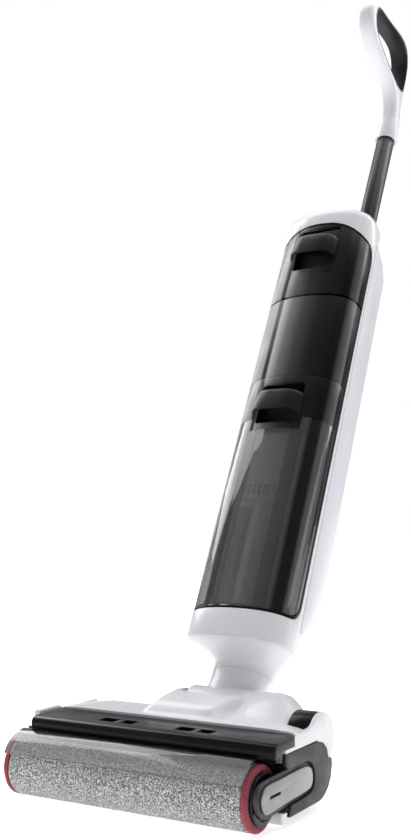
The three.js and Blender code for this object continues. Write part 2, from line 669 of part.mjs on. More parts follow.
function makeBodyShell() {
  const rear = rearBlock(SPLIT, RING.z1 - 1.7, GAP);
  const hollow = capLoft(WALL);
  const duct = rodZ(0, 30, RING.z0 - 5, RING.z0 + 8, 13, 24);
  const display = alongZ(roundedShape(-26.4, 26.4, -2.4, 32.4, 12), CAP_TOP - 2.2, CAP_TOP + 5);
  const poleWay = poleSolid(POLE.r + 4, -20, 90);
  piece(body, 'body_shell', cut(capLoft(0), hollow, rear, windowWay(0), duct, display, poleWay), WHITE);
  const lens = alongZ(roundedShape(-26, 26, -2, 32, 11.6), CAP_TOP - 2.2 + GAP, CAP_TOP - 0.1);
  piece(body, 'display_lens', lens, BLACK);
}

function makeRearCover() {
  const outer = humpLoft(0).intersect(rearBlock(SPLIT + GAP, 100, 0));
  const inner = humpLoft(2.6).intersect(rearBlock(SPLIT - 5, 100, -2.6));
  const boss = poleSolid(POLE.r + 4.5, -74, 4);
  const bore = poleSolid(POLE.r + GAP, -72, 40);
  const port = alongY(roundedShape(-17.4, 17.4, 200.6, 215.4, 4), 108, 120);
  const notch = box(-56, 56, 30, 36.2, 100, 120);
  piece(body, 'rear_cover', cut(join(cut(outer, inner), boss), bore, port, notch), PEARL);
  const socket = alongY(roundedShape(-17, 17, 201, 215, 4), 108, 112.6);
  const pads = [-9, 9].map((x) => rodY(x, 111.4, 113.5, 208, 3.4, 20));
  piece(body, 'charging_socket', cut(socket, ...pads), DARK);
}

function makeFrame() {
  const plate = box(-54.5, 54.5, 32.6, 35.6, 90, 600);
  const ribs = [-30, 30].map((x) => box(x - 1.5, x + 1.5, 35, 40, 120, 560));
  const shelves = [186, 392].map((z) => box(-50, 50, 35, 58, z, z + 3));
  const inside = humpLoft(3).intersect(rearBlock(20, 89, -3.2));
  const low = towerLoft(89.2, 130, 3.3);
  const frame = join(plate, ...ribs, ...shelves).intersect(join(inside, low));
  piece(body, 'inner_frame', frame, BLACK);
}

function makeTrim() {
  const band = cut(towerLoft(100, 636, 0.3), towerLoft(99, 637, 2.4));
  const ring = cut(band.intersect(windowWay(GAP)), windowWay(TRIM));
  piece(body, 'window_trim', ring, BLACK);
}

// The space a tank or panel may fill between two heights: flush with the window in front
// and narrower where it runs back between the body's side strips.
function bayBlock(z0, z1) {
  const front = towerLoft(z0, z1, 0.5).intersect(windowWay(TRIM + GAP));
  const shoulder = Math.min(z1, WINDOW.z1 - 18 - TRIM - 3 * GAP);
  const low = Math.max(z0, WINDOW.z0 + TRIM + GAP + 1.2);
  const back = towerLoft(low, shoulder, 5).intersect(windowWay(TRIM + GAP - 8));
  const limit = box(-90, 90, -60, TANK_BACK, z0, z1);
  return join(front, back).intersect(limit).intersect(clearOfTop());
}

function clearOfTop() {
  const { z0, z1, drop } = WINDOW;
  const room = new THREE.Shape();
  room.moveTo(-70, z0 + TRIM + GAP);
  room.lineTo(70, z0 + TRIM + GAP);
  const top = z1 - TRIM - GAP;
  room.lineTo(70, top - drop);
  for (let x = HALF_WIDTH; x >= -HALF_WIDTH; x -= HALF_WIDTH / 8) {
    room.lineTo(x, top - drop * (Math.abs(x) / HALF_WIDTH) ** 2.7);
  }
  room.lineTo(-70, top - drop);
  return alongY(room, -60, 60);
}

function gripPocket(z0, z1) {
  return alongY(roundedShape(-GRIP_HALF, GRIP_HALF, z0, z1, 5), -60, 5);
}

// The pull handle: a bowed visor that stands off the front over the finger pocket.
function gripBar(z0, z1) {
  const rings = [];
  const reach = 19.5;
  for (let i = 0; i <= 12; i += 1) {
    const x = -GRIP_HALF - 2 + ((GRIP_HALF + 2) * i) / 6;
    const bow = Math.sqrt(Math.max(1 - (x / (GRIP_HALF + 3)) ** 4, 0));
    const y = -11 - reach * bow;
    const slope = 4 * bow;
    rings.push([
      [y - slope, z0], [y - slope + 4.5, z0], [y + 5.5, z1 - 4], [y + 5.5, z1], [y + 1, z1], [y, z1 - 5],
    ].map(([py, pz]) => new THREE.Vector3(x, py, pz)));
  }
  return skin(rings, ['y', 'z']);
}

function makeCleanTank() {
  const block = bayBlock(CLEAN.z0, WINDOW.z1);
  const hollow = towerLoft(CLEAN.z0 + 3, 596, 3.6).intersect(box(-50, 50, -60, TANK_BACK - 3, 500, 596));
  const pocketBack = alongY(roundedShape(-GRIP_HALF - 3, GRIP_HALF + 3, 548, 628, 6), -60, 8);
  const filler = rodY(30, 20, 40, 540, 9);
  const body0 = cut(block, cut(hollow, pocketBack), gripPocket(556, 620), filler);
  piece(body, 'clean_tank', join(body0, gripBar(570, 598)), SMOKE);
  const stopper = rodY(30, TANK_BACK - 3, TANK_BACK - 0.1, 540, 9 - GAP);
  const plug = join(stopper, rodY(30, TANK_BACK - 5, TANK_BACK - 3, 540, 8));
  piece(body, 'clean_tank_plug', plug, RUBBER);
}

function makePanel() {
  const block = bayBlock(PANEL.z0, PANEL.z1);
  const hollow = towerLoft(PANEL.z0 + 3, PANEL.z1 - 3, 3.4).intersect(box(-51, 51, -60, 60, 300, 600));
  piece(body, 'front_panel', cut(block, hollow), [0x38393b, 0.3, 0]);
  piece(body, 'air_filter', alongZ(roundedShape(-36, 36, -6, 27, 8), 408, 462, 0, 4), [0xc8c6bc, 0.9, 0]);
}

function tongue(grow) {
  const half = LID.tongueHalf + grow;
  return box(-half, half, -60, 9 + grow, LID.tongue - grow, LID.z0 + 5);
}

function makeDirtyTank() {
  const block = bayBlock(DIRTY.z0, DIRTY.z1);
  const inside = box(-50.5, 50.5, -60, TANK_BACK - 2.6, 100, 360);
  const hollow = towerLoft(DIRTY.z0 + 3, DIRTY.z1 + 3, 3.6).intersect(inside);
  piece(body, 'dirty_tank', cut(block, hollow, tongue(GAP)), SMOKE);

  const full = bayBlock(LID.tongue, LID.z1);
  const upper = full.intersect(box(-90, 90, -60, 60, LID.z0, LID.z1));
  const lower = full.intersect(tongue(0));
  const chest = box(-49, 49, 10, 27, LID.z0 - 1, LID.z1 - 4);
  const lid = cut(join(upper, lower), chest, gripPocket(336, 389));
  piece(body, 'dirty_tank_lid', join(lid, gripBar(345, 371)), SMOKE);

  const housing = alongZ(roundedShape(-38, 38, 10.6, 26.4, 5), 264, 386, 0, 4);
  const belly = alongZ(roundedShape(-40, 40, -8, 26.4, 9), 264, 323, 0, 4);
  const cavity = alongZ(roundedShape(-35, 35, -4, 23, 6), 260, 318, 0, 4);
  piece(body, 'filter_housing', cut(join(housing, belly), cavity), [0x9c9d9f, 0.5, 0]);
  const drum = alongZ(roundedShape(-40, 40, -8, 26.4, 9), 243, 264 - GAP, 0, 4);
  const slots = [];
  for (let x = -33; x <= 33; x += 6) slots.push(box(x - 1.6, x + 1.6, -12, 21, 247, 260));
  const well = alongZ(roundedShape(-36, 36, -4, 22, 6), 246, 265, 0, 4);
  const mouth = box(-12, 12, 6, 19, 240, 250);
  piece(body, 'strainer', cut(drum, well, ...slots, mouth), [0x77787a, 0.5, 0]);
  const riser = cut(
    alongZ(roundedShape(-15, 15, 4, 24, 6), DIRTY.z0 + 3.3, 243 - GAP, 0, 4),
    alongZ(roundedShape(-12.5, 12.5, 6.5, 21.5, 4), 100, 260, 0, 4),
  );
  piece(body, 'riser_tube', riser, [0x6c6d70, 0.4, 0]);
}

function makeInternals() {
  const motor = turnedZ([[0, 396], [26, 396], [32, 402], [32, 446], [36, 448], [36, 456], [0, 456]], 0, 72);
  piece(body, 'suction_motor', cut(motor, rodZ(0, 72, 450, 460, 4, 20)), [0x6a6c70, 0.4, 0.6]);
  const fan = turnedZ([[3, 458], [34, 458], [34, 460], [12, 474], [3, 474]], 0, 72);
  const vents = [0, 60, 120, 180, 240, 300].map((a) => box(14, 40, -1.2, 1.2, 460.5, 480)
    .rotate([0, 0, a]).translate([0, 72, 0]));
  piece(body, 'impeller', cut(fan, ...vents), [0x2a2a2c, 0.5, 0]);
  const pack = alongZ(roundedShape(-36, 36, 61, 103, 7), 194, 384, 0, 4);
  piece(body, 'battery_pack', pack, [0x1f2a33, 0.5, 0]);
  piece(body, 'circuit_board', box(-44, 44, 44, 45.6, 200, 380), [0x1d4a34, 0.5, 0]);
  const pump = join(rodZ(-28, 62, 500, 528, 13, 24), rodY(-28, 44, 62, 514, 7, 20));
  piece(body, 'water_pump', pump, DARK);
}

// ---- pole and handle ----------------------------------------------------------------------
function handleOutline() {
  return [
    [95, 892], [96, 925], [93.5, 945], [85, 961], [70, 969.5], [50, 972], [19, 971.5], [0, 974],
    [-14, 979], [-25, 987], [-31.5, 998], [-33.4, 1010], [-30.5, 1023], [-21.5, 1035], [-8, 1044],
    [22, 1055], [50, 1067.5], [66, 1074], [81, 1077], [95, 1074.5], [106, 1064.5], [113, 1045],
    [115, 1020], [114.6, 998], [115.6, 970], [118.5, 945], [122, 922], [124, 892],
  ];
}

function gripOpening() {
  return smoothOutline([
    [107, 997], [99, 986], [84, 982.4], [55, 982.4], [19, 984.6], [0, 989], [-11, 997], [-17, 1009],
    [-18, 1021], [-13, 1031], [-1, 1037], [24, 1046], [46, 1055], [66, 1062], [82, 1063.8],
    [95, 1057.5], [104, 1042], [107.5, 1018],
  ], 36);
}

function gripOutline() {
  return [
    [-10.5, 1043], [-8, 1044.4], [22, 1055.6], [50, 1068.2], [66, 1074.6], [81, 1077.6], [95.4, 1075],
    [106.6, 1064.8], [113.6, 1045], [115.6, 1020], [115.2, 1000], [109, 991.5], [99.5, 983.6],
    [84, 979.9], [55, 979.9], [19, 982], [-1.4, 986.6], [-13, 995.4], [-19.6, 1008.4], [-20.6, 1021.6],
    [-15.4, 1033.2],
  ];
}

function makeHandle() {
  const width = 12.8;
  const outline = polygon(handleOutline());
  const solidHandle = alongX(outline, -width, width, 9);
  const neck = turnedZ([[0, 892], [15.8, 892], [14.6, 925], [12.5, 950], [0, 950]], 0, 109.3, 32);
  const gripBlock = alongX(polygon(gripOutline()), -40, 40);
  const opening = alongX(polygon(gripOpening()), -40, 40);
  const clearance = join(gripBlock, opening);
  const bore = poleSolid(POLE.r + GAP, 280, POLE.to + 2);
  const buttons = [942, 959, 976].map((z) => ({ z, y: 118.6 - (z - 942) * 0.09 }));
  const pockets = buttons.map(({ z, y }) => rodY(0, y - 8, y + 10, z, 5.9));
  piece(body, 'handle_shell', cut(join(solidHandle, neck), clearance, bore, ...pockets), WHITE);

  const seam = gripOutline().map(([y, z]) => [43 + (y - 43) * 0.994, 1026 + (z - 1026) * 0.991]);
  const grip = cut(solidHandle.intersect(alongX(polygon(seam), -40, 40)), opening);
  piece(body, 'handle_grip', grip, RUBBER);
  ['power_button', 'mode_button', 'self_clean_button'].forEach((name, i) => {
    const { z, y } = buttons[i];
    piece(body, name, rodY(0, y - 4.6, y + 0.7, z, 5.4), BLACK);
  });
}

function makePole() {
  const { r, wall, from, to, y, z, tilt } = POLE;
  const geometry = turned(tubeProfile(r - wall, r, from, to), 32);
  geometry.rotateX(THREE.MathUtils.degToRad(-tilt));
  geometry.translate(0, y, z);
  piece(body, 'pole', solid(geometry), [0x3a3b3d, 0.35, 0.6]);
}

makeRoller();
makeArm();
makeDrive();
makeCover();
makeWheel('right', false);
makeWheel('left', true);
makeSidePlates();
makeBase();
makeShell();
makeBand();
makeHeadDetails();
makeNeck();
makeFunnel();
makeBodyShell();
makeRearCover();
makeFrame();
makeTrim();
makeCleanTank();
makePanel();
makeDirtyTank();
makeInternals();
makeHandle();
makePole();

export default machine;
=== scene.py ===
import math
import bpy
import bmesh
from mathutils import Matrix, Vector, noise


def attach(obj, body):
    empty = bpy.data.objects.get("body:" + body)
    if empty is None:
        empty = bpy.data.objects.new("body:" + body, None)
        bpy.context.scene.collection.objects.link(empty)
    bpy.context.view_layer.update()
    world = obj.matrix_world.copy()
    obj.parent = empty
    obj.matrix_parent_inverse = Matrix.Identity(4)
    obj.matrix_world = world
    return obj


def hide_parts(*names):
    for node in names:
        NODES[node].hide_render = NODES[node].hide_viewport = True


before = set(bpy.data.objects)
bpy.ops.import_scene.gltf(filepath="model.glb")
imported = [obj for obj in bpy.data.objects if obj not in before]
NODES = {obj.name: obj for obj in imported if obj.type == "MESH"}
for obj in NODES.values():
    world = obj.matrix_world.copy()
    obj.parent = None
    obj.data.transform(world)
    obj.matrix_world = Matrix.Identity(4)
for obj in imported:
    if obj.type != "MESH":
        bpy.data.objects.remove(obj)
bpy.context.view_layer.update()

# ---- places, in millimetres from the floor below the roller's axis ---------------------------
MM = 0.001
ORIGIN = Vector((17.5, -323.06, 0.0))
HEAD = Matrix.Scale(MM, 4) @ Matrix.Translation(ORIGIN)
BODY_PIVOT = Vector((0, 100, 62))
LEAN = math.radians(26.9)

# The roller lies on the floor, so its axis is one radius up.
ROLLER_RADIUS = 28.1
ROLLER_LEFT = -151.5
ROLLER_RIGHT = 105.8
BAND_WIDTH = 4.5
SEAM = 0.3
PILE_INNER = 19.3

# Where the painted highlights and painted shade of the tanks and the panel change, across and into the
# leaning body.
FLANK_FROM = 52
BAR_BEFORE = -18
POCKET_FROM = -11.5
POCKET_HALF_WIDTH = 33.5

# The camera: a lens on a 36 mm sensor along the taller side, its place and where it looks.
SENSOR = 36
LENS = 44.1771
EYE = Vector((519.3, -785.9, 261.7))
LOOK = Vector((-0.5023, 0.8596, 0.0941))

FLOOR_RADIUS = 12
FLOOR_SIDES = 48
FLOOR_DROP = 0.0004


# ---- node trees ---------------------------------------------------------------------------
# Sockets of the Mix node that hold colours.
MIX_FIRST = 6
MIX_SECOND = 7
MIX_RESULT = 2

# Most of a noise texture's values lie between these two.
NOISE_LOW = 0.3
NOISE_HIGH = 0.7

# Depths of bump, in metres.
SKIN_DEPTH = 0.0004
FIBRE_DEPTH = 0.0012


class Tree:
    """A material's node tree, with a principled shader and short ways to add to it."""

    def __init__(self, name):
        self.material = bpy.data.materials.new(name)
        self.material.use_nodes = True
        self.nodes = self.material.node_tree.nodes
        self.links = self.material.node_tree.links
        self.shader = self.nodes["Principled BSDF"]
        self.place = self.add("ShaderNodeTexCoord").outputs["Object"]

    def add(self, kind, **values):
        node = self.nodes.new(kind)
        for key, value in values.items():
            setattr(node, key, value)
        return node

    def link(self, source, target):
        self.links.new(source, target)

    def noise(self, scale, detail=3.0, rough=0.5):
        node = self.add("ShaderNodeTexNoise")
        node.inputs["Scale"].default_value = scale
        node.inputs["Detail"].default_value = detail
        node.inputs["Roughness"].default_value = rough
        self.link(self.place, node.inputs["Vector"])
        return node.outputs["Fac"]

    def spread(self, value, low, high):
        """Noise stretched to run from one value to another."""
        node = self.add("ShaderNodeMapRange")
        node.inputs["From Min"].default_value = NOISE_LOW
        node.inputs["From Max"].default_value = NOISE_HIGH
        node.inputs["To Min"].default_value = low
        node.inputs["To Max"].default_value = high
        self.link(value, node.inputs["Value"])
        return node.outputs["Result"]

    def blend(self, factor, first, second):
        """A mix of two colours, each a socket or a tuple."""
        node = self.add("ShaderNodeMix", data_type="RGBA")
        for i, item in ((MIX_FIRST, first), (MIX_SECOND, second)):
            if isinstance(item, tuple):
                node.inputs[i].default_value = (*item, 1)
            else:
                self.link(item, node.inputs[i])
        self.link(factor, node.inputs["Factor"])
        return node.outputs[MIX_RESULT]

    def maths(self, kind, first, second=0):
        """A maths node on a socket and a second socket or number."""
        node = self.add("ShaderNodeMath", operation=kind)
        self.link(first, node.inputs[0])
        if isinstance(second, (int, float)):
            node.inputs[1].default_value = second
        else:
            self.link(second, node.inputs[1])
        return node.outputs[0]

    def ramp(self, value, stops):
        """A colour ramp, with stops of (position from 0 to 1, colour)."""
        node = self.add("ShaderNodeValToRGB")
        points = node.color_ramp.elements
        while len(points) < len(stops):
            points.new(0.5)
        for point, (position, colour) in zip(points, stops):
            point.position = position
            point.color = (*colour, 1)
        self.link(value, node.inputs["Fac"])
        return node.outputs["Color"]

    def along(self, distance, stops, blue=1.01):
        """A faintly blue grey that changes with a distance, with stops of (distance, grey)."""
        low = stops[0][0]
        high = stops[-1][0]
        span = self.add("ShaderNodeMapRange")
        span.inputs["From Min"].default_value = low
        span.inputs["From Max"].default_value = high
        self.link(distance, span.inputs["Value"])
        tones = [((place - low) / (high - low), (grey, grey, grey * blue)) for place, grey in stops]
        return self.ramp(span.outputs["Result"], tones)

    def paint(self, colour):
        self.link(colour, self.shader.inputs["Base Color"])

    def uneven_gloss(self, scale, detail, low, high):
        """Roughness that wanders between two values."""
        self.link(self.spread(self.noise(scale, detail), low, high), self.shader.inputs["Roughness"])

    def bump(self, height, strength, depth):
        node = self.add("ShaderNodeBump")
        node.inputs["Strength"].default_value = strength
        node.inputs["Distance"].default_value = depth
        self.link(height, node.inputs["Height"])
        self.link(node.outputs["Normal"], self.shader.inputs["Normal"])

    def set(self, **values):
        for key, value in values.items():
            self.shader.inputs[key.replace("_", " ")].default_value = value


def body_axes(t):
    """Millimetres across and into the leaning body, measured in the body's own frame."""
    upright = Matrix.Rotation(LEAN, 4, "X")
    node = t.add("ShaderNodeMapping")
    node.inputs["Scale"].default_value = (1 / MM, 1 / MM, 1 / MM)
    node.inputs["Rotation"].default_value = (LEAN, 0, 0)
    node.inputs["Location"].default_value = -(upright @ (ORIGIN + BODY_PIVOT))
    t.link(t.place, node.inputs["Vector"])
    split = t.add("ShaderNodeSeparateXYZ")
    t.link(node.outputs["Vector"], split.inputs[0])
    return split.outputs[0], split.outputs[1]


# ---- kinds of material ----------------------------------------------------------------------
def plastic(name, dark, light, rough, grain=900, bump=0.02, coat=0.0, metallic=0.0, specular=0.5):
    """Moulded plastic or paint: faint mottling, a little uneven gloss and a fine skin."""
    t = Tree(name)
    t.paint(t.blend(t.spread(t.noise(14, 2), 0, 1), dark, light))
    t.uneven_gloss(60, 4, rough * 0.85, rough * 1.15)
    t.bump(t.noise(grain, 3), bump, SKIN_DEPTH)
    t.set(Metallic=metallic, Coat_Weight=coat, Coat_Roughness=0.08, Specular_IOR_Level=specular)
    return t.material


# Painted highlight on the pull bar: lighter at its left end, near black to the right.
BAR_PAINTED_HIGHLIGHT = ((-40, 0.20), (-32, 0.10), (-27, 0.035), (0, 0.02), (36, 0.002))


def smoky_painted_light(name, front, flank, rough, clear, gloss=0.25):
    """Tinted plastic with painted light. Across the front its grey is a painted highlight fading from
    the left, with dark lines near both sides; over the pull bar it is a painted highlight at the left
    end; back along the right side it is a painted highlight stripe; and the finger pocket behind the bar
    is painted black as shade."""
    t = Tree(name)
    across, back = body_axes(t)
    # Back along the right side the grey is a painted highlight stripe near the front edge.
    on_flank = t.maths("GREATER_THAN", across, FLANK_FROM)
    # Painted highlight across the front, fading from the left to near black on the right.
    tone = t.blend(on_flank, t.along(across, front), t.along(back, flank))
    # Painted highlight on the pull bar, lighter at its left end.
    on_bar = t.maths("LESS_THAN", back, BAR_BEFORE)
    tone = t.blend(on_bar, tone, t.along(across, BAR_PAINTED_HIGHLIGHT))
    # Painted shade: the finger pocket behind the pull bar is painted near black.
    near_middle = t.maths("LESS_THAN", t.maths("ABSOLUTE", across), POCKET_HALF_WIDTH)
    pocket_painted_shade = t.maths("MULTIPLY", near_middle, t.maths("GREATER_THAN", back, POCKET_FROM))
    tone = t.blend(pocket_painted_shade, tone, (0.003, 0.003, 0.003))
    t.paint(t.blend(t.spread(t.noise(9, 2), 0.0, 0.1), tone, (0.01, 0.01, 0.01)))
    t.uneven_gloss(40, 3, rough * 0.8, rough * 1.3)
    t.set(Transmission_Weight=clear, IOR=1.4, Specular_IOR_Level=gloss)
    return t.material


def grey_painted_light(name, stops):
    """Grey plastic inside the lower tank, whose tone changes across the body as painted light: painted
    highlights and painted shade.
    """
    t = Tree(name)
    tone = t.along(body_axes(t)[0], stops)
    t.paint(t.blend(t.spread(t.noise(12, 2), 0.0, 0.15), tone, (0.12, 0.12, 0.12)))
    t.uneven_gloss(50, 3, 0.32, 0.45)
    t.set(Specular_IOR_Level=0.35)
    return t.material


def roller_cover(name, stops):
    """Clear moulding round the roller, tinted by the degrees turned about the roller's axis."""
    t = Tree(name)
    split = t.add("ShaderNodeSeparateXYZ")
    t.link(t.place, split.inputs[0])
    back = t.maths("SUBTRACT", split.outputs["Y"], ORIGIN.y * MM)
    rise = t.maths("SUBTRACT", split.outputs["Z"], ROLLER_RADIUS * MM)
    turn = t.maths("DEGREES", t.maths("ARCTAN2", rise, back))
    t.paint(t.along(turn, stops, 1.02))
    t.uneven_gloss(50, 3, 0.03, 0.06)
    t.bump(t.noise(350, 2), 0.004, SKIN_DEPTH)
    t.set(Transmission_Weight=0.88, IOR=1.4, Specular_IOR_Level=0.3)
    return t.material


def plush(name, tones, scale, contrast, sheen):
    """Cut pile: fibres of mixed tones that stand on end."""
    t = Tree(name)
    last = len(tones) - 1
    stops = [(0.5 + contrast * (2 * i / last - 1), tone) for i, tone in enumerate(tones)]
    t.paint(t.ramp(t.noise(scale, 3, 0.75), stops))
    t.bump(t.noise(scale * 1.4, 3, 0.7), 0.7, FIBRE_DEPTH)
    t.set(Roughness=0.95, Sheen_Weight=sheen, Sheen_Roughness=0.5, Specular_IOR_Level=0.2)
    return t.material


# ---- materials ------------------------------------------------------------------------------
WHITE = plastic("white_gloss_plastic", (0.735, 0.732, 0.76), (0.76, 0.757, 0.78), 0.32, coat=0.2)
# The handle's white is a darker copy of the body's white plastic: painted shade.
HANDLE_WHITE_PAINTED_SHADE = plastic("white_handle_plastic_painted_shade", (0.66, 0.657, 0.69), (0.69, 0.687, 0.72), 0.36, coat=0.1)
PEARL = plastic("pearl_satin_plastic", (0.70, 0.69, 0.745), (0.735, 0.725, 0.775), 0.38, coat=0.15)
GREY = plastic("grey_satin_plastic", (0.40, 0.40, 0.41), (0.46, 0.46, 0.47), 0.4)
DARK = plastic("dark_matte_plastic", (0.020, 0.020, 0.021), (0.028, 0.028, 0.029), 0.5, 500, 0.004)
BLACK = plastic(
    "black_gloss_plastic", (0.004, 0.004, 0.004), (0.008, 0.008, 0.008), 0.24, specular=0.12)
CAP = plastic(
    "cap_black_plastic", (0.006, 0.006, 0.006), (0.010, 0.010, 0.010), 0.3, 1400, 0.04,
    specular=0.35)
POLE = plastic(
    "dark_pole_paint", (0.008, 0.008, 0.009), (0.012, 0.012, 0.013), 0.3, 2000, 0.06,
    specular=0.25)
RUBBER = plastic(
    "soft_black_rubber", (0.006, 0.006, 0.006), (0.011, 0.011, 0.012), 0.42, 1800, 0.1,
    specular=0.3)
TYRE = plastic("tyre_rubber", (0.010, 0.010, 0.010), (0.017, 0.017, 0.017), 0.5, 1500, 0.12)
MILKY = plastic("milky_rubber", (0.74, 0.75, 0.76), (0.80, 0.81, 0.82), 0.45)
METAL_GREY = plastic(
    "metallic_grey_paint", (0.25, 0.25, 0.255), (0.31, 0.31, 0.315), 0.36, 2600, 0.12,
    coat=0.1, metallic=0.6)
STEEL = plastic("turned_steel", (0.55, 0.55, 0.56), (0.66, 0.66, 0.67), 0.28, 2000, 0.05, metallic=1.0)
ZINC = plastic("zinc_plate", (0.35, 0.35, 0.37), (0.45, 0.45, 0.46), 0.4, 1200, 0.06, metallic=1.0)
PAPER = plastic("filter_paper", (0.62, 0.60, 0.54), (0.70, 0.68, 0.62), 0.9, 700, 0.3)
WRAP = plastic("battery_wrap", (0.01, 0.03, 0.06), (0.015, 0.045, 0.08), 0.3)
BOARD = plastic("board_green", (0.01, 0.08, 0.035), (0.015, 0.11, 0.05), 0.4)

# Greys of the panel and tanks, painted light: across the front for the first list of each, in
# millimetres from the body's middle, a painted highlight fading from the left with dark lines near both
# sides, and back along the right side for the second, a painted highlight stripe.
# Painted highlight stripe back along the right side of the dark panel and tanks.
DARK_FLANK_PAINTED_HIGHLIGHT = ((-20, 0.001), (-3, 0.015), (5, 0.08), (11, 0.14), (13, 0.004), (40, 0.004))
PANEL_PAINTED_LIGHT = smoky_painted_light("panel_dark_plastic_painted_light", (
    (-58, 0.40), (-34.5, 0.30), (-33, 0.004), (-28, 0.004), (-26, 0.50), (-14, 0.16), (2, 0.05),
    (22, 0.010), (42, 0.003), (43.5, 0.0005), (50, 0.001), (52, 0.02)), DARK_FLANK_PAINTED_HIGHLIGHT, 0.4, 0.0)
SMOKE_DARK_PAINTED_LIGHT = smoky_painted_light("smoky_tank_plastic_painted_light", (
    (-58, 0.36), (-34.5, 0.26), (-33, 0.004), (-28, 0.004), (-26, 0.34), (-14, 0.12), (2, 0.035),
    (22, 0.012), (42, 0.004), (43.5, 0.0005), (50, 0.001), (52, 0.02)), DARK_FLANK_PAINTED_HIGHLIGHT, 0.3, 0.0)
# Painted highlight back along the right side of the clear tank.
CLEAR_FLANK_PAINTED_HIGHLIGHT = ((-20, 0.3), (-4, 0.6), (5, 0.80), (11, 0.8), (13, 0.01), (40, 0.01))
SMOKE_PAINTED_LIGHT = smoky_painted_light("smoky_clear_plastic_painted_light", (
    (-58, 0.36), (-46, 0.55), (-35, 0.55), (-34, 0.4), (-28, 0.4), (-26, 0.76), (-16, 0.66),
    (2, 0.60), (22, 0.54), (38, 0.42), (42, 0.01), (50, 0.01), (52, 0.50)),
    CLEAR_FLANK_PAINTED_HIGHLIGHT, 0.02, 0.9, 0.1)
# Painted light and shade: lighter at the left, darkening towards the right.
INNER_PAINTED_LIGHT = grey_painted_light("tank_inner_plastic_painted_light", (
    (-45, 0.85), (-30, 0.72), (-18, 0.42), (-4, 0.26), (14, 0.16), (30, 0.09), (45, 0.04)))
# Painted highlight stripes round the riser tube, with painted shade between them.
TUBE_PAINTED_LIGHT = grey_painted_light("riser_tube_plastic_painted_light", (
    (-24, 0.70), (-20, 0.12), (-15, 0.30), (-8, 0.55), (-2, 0.22), (6, 0.08), (15, 0.05),
    (18, 0.5), (24, 0.10)))

# Dark by the strip, grey below it and pale towards the lip.
SMOKE_COVER = roller_cover("smoky_cover_plastic", (
    (90, 0.01), (99, 0.02), (104, 0.26), (118, 0.36), (121, 0.93), (137, 0.90), (150, 0.84),
    (152, 0.5)))

PILE_GREYS = ((0.03, 0.03, 0.032), (0.34, 0.34, 0.345), (0.92, 0.92, 0.93))
PLUSH = plush("grey_melange_pile", PILE_GREYS, 760, 0.11, 0.4)
PILE_REDS = ((0.26, 0.022, 0.04), (0.40, 0.045, 0.075), (0.50, 0.08, 0.11))
CRIMSON = plush("crimson_pile", PILE_REDS, 900, 0.2, 0.3)

LOOKS = {
    "head_base": DARK, "head_shell": WHITE, "end_band": BLACK, "side_plate_right": DARK,
    "side_plate_left": DARK, "roller_motor": ZINC, "scraper_blade": RUBBER, "rear_squeegee": MILKY,
    "wheel_axle_right": STEEL, "wheel_axle_left": STEEL, "pivot_pin_left": STEEL,
    "pivot_pin_right": STEEL, "cover_strip": BLACK, "cover_window": SMOKE_COVER,
    "cover_latch_left": DARK, "cover_latch_right": DARK, "roller_arm": DARK, "arm_insert": METAL_GREY,
    "arm_pin": STEEL, "roller_core": GREY, "roller_pile": PLUSH, "roller_band_left": CRIMSON,
    "roller_band_right": CRIMSON, "roller_end_cap": CAP, "roller_bearing": STEEL, "drive_hub": DARK,
    "motor_shaft": STEEL, "tyre_right": TYRE, "tyre_left": TYRE, "wheel_hub_right": WHITE,
    "wheel_hub_left": WHITE, "neck_yoke": WHITE, "swivel_bush": DARK, "neck_funnel": WHITE,
    "body_shell": WHITE, "display_lens": BLACK, "rear_cover": PEARL, "charging_socket": DARK,
    "inner_frame": DARK, "window_trim": BLACK, "front_panel": PANEL_PAINTED_LIGHT, "air_filter": PAPER,
    "suction_motor": ZINC, "impeller": DARK, "battery_pack": WRAP, "circuit_board": BOARD,
    "water_pump": DARK, "handle_shell": HANDLE_WHITE_PAINTED_SHADE, "handle_grip": RUBBER, "pole": POLE,
    "clean_tank": SMOKE_DARK_PAINTED_LIGHT, "clean_tank_plug": RUBBER, "dirty_tank": SMOKE_PAINTED_LIGHT,
    "dirty_tank_lid": SMOKE_DARK_PAINTED_LIGHT, "filter_housing": INNER_PAINTED_LIGHT, "strainer": INNER_PAINTED_LIGHT, "riser_tube": TUBE_PAINTED_LIGHT,
    "power_button": DARK, "mode_button": DARK, "self_clean_button": DARK,
}

WELD_DISTANCE = 2e-6
EDGE_WIDTH = 0.0005
EDGE_ANGLE = math.radians(38)
CREASE_ANGLE = math.radians(32)


def smooth_faces(mesh):
    for polygon in mesh.polygons:
        polygon.use_smooth = True


def dress(name, material):
    """Gives a CAD node its material, smooth faces and softened edges."""
    node = NODES[name]
    node.data.materials.clear()
    node.data.materials.append(material)
    smooth_faces(node.data)
    weld = node.modifiers.new("weld", "WELD")
    weld.merge_threshold = WELD_DISTANCE
    bevel = node.modifiers.new("bevel", "BEVEL")
    bevel.width = EDGE_WIDTH
    bevel.segments = 2
    bevel.limit_method = "ANGLE"
    bevel.angle_limit = EDGE_ANGLE
    bevel.use_clamp_overlap = True
    split = node.modifiers.new("split", "EDGE_SPLIT")
    split.split_angle = CREASE_ANGLE


for node_name, look in LOOKS.items():
    dress(node_name, look)


# ---- the roller's pile ---------------------------------------------------------------------
# How finely a ring is divided, how far its tufts sink and how close together they stand.
SLEEVE_PILE = {"corner": 2.0, "steps": 190, "around": 200, "depth": 0.8, "grain": 1.2}
BAND_PILE = {"corner": 1.6, "steps": 4, "around": 190, "depth": 0.5, "grain": 0.8}
CORNER_STEPS = 6

# Past this share of the rounding, the tufts sink in from the ring's end as well.
EDGE_SHARE = 0.25
END_SINK = 0.6


